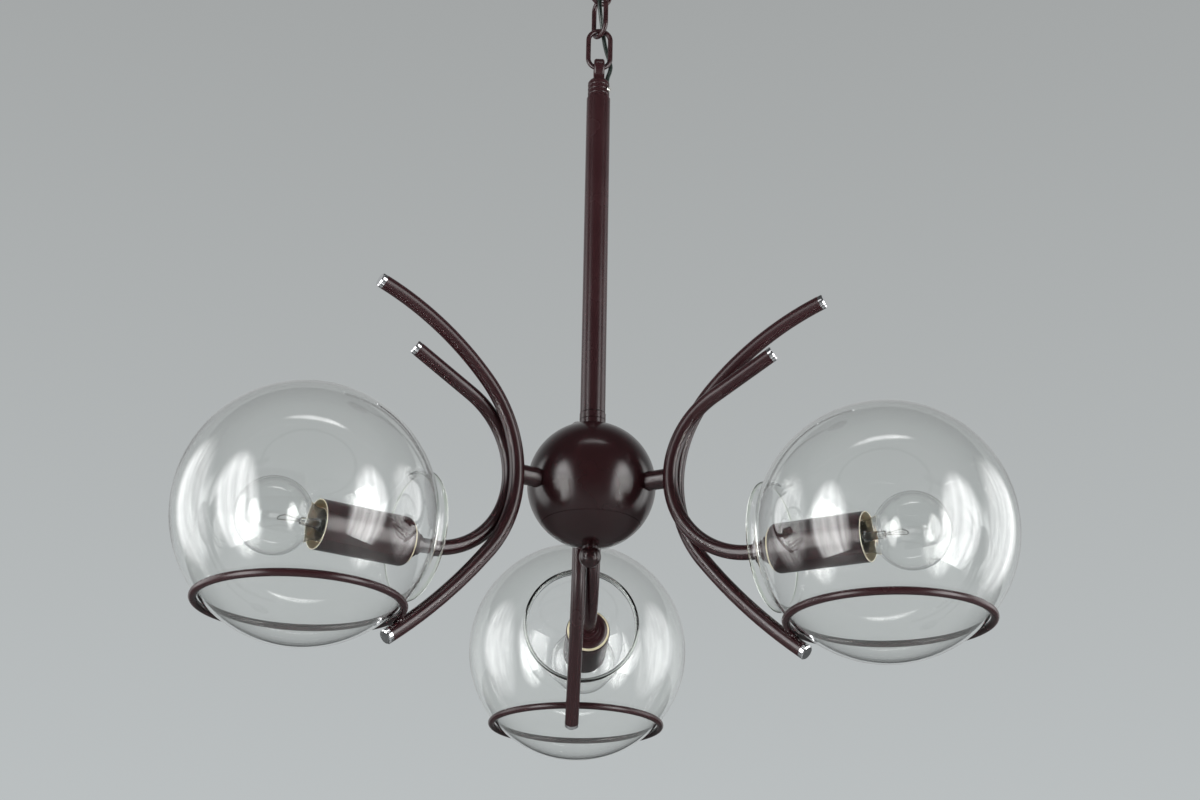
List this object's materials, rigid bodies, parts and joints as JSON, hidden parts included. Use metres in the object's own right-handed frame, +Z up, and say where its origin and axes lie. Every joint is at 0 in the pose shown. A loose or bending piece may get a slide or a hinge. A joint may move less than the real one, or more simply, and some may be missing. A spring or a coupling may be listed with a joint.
{
  "type": "chandelier",
  "caption": "Ball-hub chandelier on a straight stem and short chain, with paired bent-tube arms that carry clear glass globes and screw-in bulbs.",
  "frame": {"origin": "centre of the crossbar's top face, flat on the ceiling", "axes": "+Z up along the stem; one arm points along +Y and the others follow at even spacing; the crossbar lies along X"},
  "size_m": [0.6364, 0.578, 0.74],
  "materials": {
    "painted_tube": "semi-gloss dark aubergine brown enamel",
    "painted_hub": "gloss dark aubergine brown enamel",
    "painted_chain": "dark brown enamel over bent wire",
    "lamp_cup": "semi-gloss dark brown enamel outside, bare brass inside",
    "zinc": "zinc-plated",
    "chrome_cap": "polished",
    "globe_glass": "clear blown glass",
    "bulb_glass": "clear thin glass",
    "bulb_mount": "clear glass stem with nickel leads and a tungsten filament",
    "bulb_base": "nickelled screw base",
    "bulb_tip": "black glass insulator with a solder tip",
    "screw_shell": "rolled copper-brass",
    "socket_body": "cream porcelain",
    "cord": "black PVC lamp cord",
    "wiring": "PVC-insulated wire",
    "wire_connector": "moulded"
  },
  "bodies": {
    "ceiling": {"crossbar": "zinc", "canopy_nipple": "zinc", "canopy_loop": "painted_hub", "cord_1": "cord"},
    "canopy": {"canopy": "painted_hub"},
    "collar": {"loop_collar": "painted_hub"},
    "link_3": {"chain_link_3": "painted_chain", "cord_2": "cord"},
    "link_2": {"chain_link_2": "painted_chain", "cord_3": "cord"},
    "link_1": {"chain_link_1": "painted_chain", "cord_4": "cord"},
    "fixture": {"stem_loop": "painted_tube", "loop_screw": "zinc", "stem": "painted_tube", "stem_collar": "painted_tube", "hub_spindle": "zinc", "hub_shell": "painted_hub", "wire_connectors": "wire_connector", "internal_wiring": "wiring", "arm_stubs": "painted_tube", "end_caps": "chrome_cap", "cup_nuts": "painted_tube", "centre_contacts": "screw_shell", "long_tube_1": "painted_tube", "lamp_tube_1": "painted_tube", "globe_ring_1": "painted_tube", "lamp_cup_1": "lamp_cup", "socket_body_1": "socket_body", "screw_shell_1": "screw_shell", "long_tube_2": "painted_tube", "lamp_tube_2": "painted_tube", "globe_ring_2": "painted_tube", "lamp_cup_2": "lamp_cup", "socket_body_2": "socket_body", "screw_shell_2": "screw_shell", "long_tube_3": "painted_tube", "lamp_tube_3": "painted_tube", "globe_ring_3": "painted_tube", "lamp_cup_3": "lamp_cup", "socket_body_3": "socket_body", "screw_shell_3": "screw_shell"},
    "hub_cap": {"hub_cap": "painted_hub"},
    "finial": {"finial": "painted_hub"},
    "globe_1": {"globe_1": "globe_glass"},
    "bulb_1_tip": {"bulb_tip_1": "bulb_tip"},
    "bulb_1": {"bulb_base_1": "bulb_base", "bulb_glass_1": "bulb_glass", "bulb_mount_1": "bulb_mount"},
    "globe_2": {"globe_2": "globe_glass"},
    "bulb_2_tip": {"bulb_tip_2": "bulb_tip"},
    "bulb_2": {"bulb_base_2": "bulb_base", "bulb_glass_2": "bulb_glass", "bulb_mount_2": "bulb_mount"},
    "globe_3": {"globe_3": "globe_glass"},
    "bulb_3_tip": {"bulb_tip_3": "bulb_tip"},
    "bulb_3": {"bulb_base_3": "bulb_base", "bulb_glass_3": "bulb_glass", "bulb_mount_3": "bulb_mount"}
  },
  "joints": [
    {"name": "canopy_drop", "type": "slide", "parent": "ceiling", "child": "canopy", "axis": [0, 0, -1], "range_m": [0, 0.01]},
    {"name": "collar_turn", "type": "hinge", "parent": "canopy", "child": "collar", "pos_m": [0, 0, -0.043], "axis": [0, 0, -1], "range_deg": [0, 3600]},
    {"name": "link_3_swing", "type": "hinge", "parent": "ceiling", "child": "link_3", "pos_m": [0, 0, -0.0684], "axis": [-0.5, 0.866, 0], "range_deg": [-25, 25], "deforming": ["cord_1"]},
    {"name": "link_2_swing", "type": "hinge", "parent": "link_3", "child": "link_2", "pos_m": [0, 0, -0.102], "axis": [0.866, 0.5, 0], "range_deg": [-25, 25], "deforming": ["cord_2"]},
    {"name": "link_1_swing", "type": "hinge", "parent": "link_2", "child": "link_1", "pos_m": [0, 0, -0.1359], "axis": [-0.5, 0.866, 0], "range_deg": [-25, 25], "deforming": ["cord_3"]},
    {"name": "stem_swing", "type": "hinge", "parent": "link_1", "child": "fixture", "pos_m": [0, 0, -0.1698], "axis": [1, 0, 0], "range_deg": [-25, 25], "deforming": ["cord_4"]},
    {"name": "hub_cap_lower", "type": "slide", "parent": "fixture", "child": "hub_cap", "axis": [0, 0, -1], "range_m": [0, 0.00799]},
    {"name": "finial_turn", "type": "hinge", "parent": "hub_cap", "child": "finial", "pos_m": [0, 0, -0.6274], "axis": [0, 0, -1], "range_deg": [0, 3060]},
    {"name": "globe_1_turn", "type": "hinge", "parent": "fixture", "child": "globe_1", "pos_m": [0, 0.252, -0.64], "axis": [0, 0, 1], "range_deg": [-12, 12]},
    {"name": "bulb_1_lift", "type": "slide", "parent": "fixture", "child": "bulb_1_tip", "axis": [0, 1, 0], "range_m": [0, 0.02]},
    {"name": "bulb_1_turn", "type": "hinge", "parent": "bulb_1_tip", "child": "bulb_1", "pos_m": [0.00615, 0.2745, -0.644], "axis": [0, 1, 0], "range_deg": [0, 1980]},
    {"name": "globe_2_turn", "type": "hinge", "parent": "fixture", "child": "globe_2", "pos_m": [-0.21824, -0.126, -0.64], "axis": [0, 0, 1], "range_deg": [-12, 12]},
    {"name": "bulb_2_lift", "type": "slide", "parent": "fixture", "child": "bulb_2_tip", "axis": [-0.866, -0.5, 0], "range_m": [0, 0.02]},
    {"name": "bulb_2_turn", "type": "hinge", "parent": "bulb_2_tip", "child": "bulb_2", "pos_m": [-0.2408, -0.13192, -0.644], "axis": [-0.866, -0.5, 0], "range_deg": [0, 1980]},
    {"name": "globe_3_turn", "type": "hinge", "parent": "fixture", "child": "globe_3", "pos_m": [0.21824, -0.126, -0.64], "axis": [0, 0, 1], "range_deg": [-12, 12]},
    {"name": "bulb_3_lift", "type": "slide", "parent": "fixture", "child": "bulb_3_tip", "axis": [0.866, -0.5, 0], "range_m": [0, 0.02]},
    {"name": "bulb_3_turn", "type": "hinge", "parent": "bulb_3_tip", "child": "bulb_3", "pos_m": [0.23465, -0.14258, -0.644], "axis": [0.866, -0.5, 0], "range_deg": [0, 1980]}
  ],
  "couplings": [
    {"joint": "collar_turn", "follows": "canopy_drop", "rad_per_m": 6283.2},
    {"joint": "finial_turn", "follows": "hub_cap_lower", "rad_per_m": 6684.2},
    {"joint": "bulb_1_lift", "follows": "bulb_1_turn", "m_per_rad": 0.00057757},
    {"joint": "bulb_2_lift", "follows": "bulb_2_turn", "m_per_rad": 0.00057757},
    {"joint": "bulb_3_lift", "follows": "bulb_3_turn", "m_per_rad": 0.00057757}
  ]
}
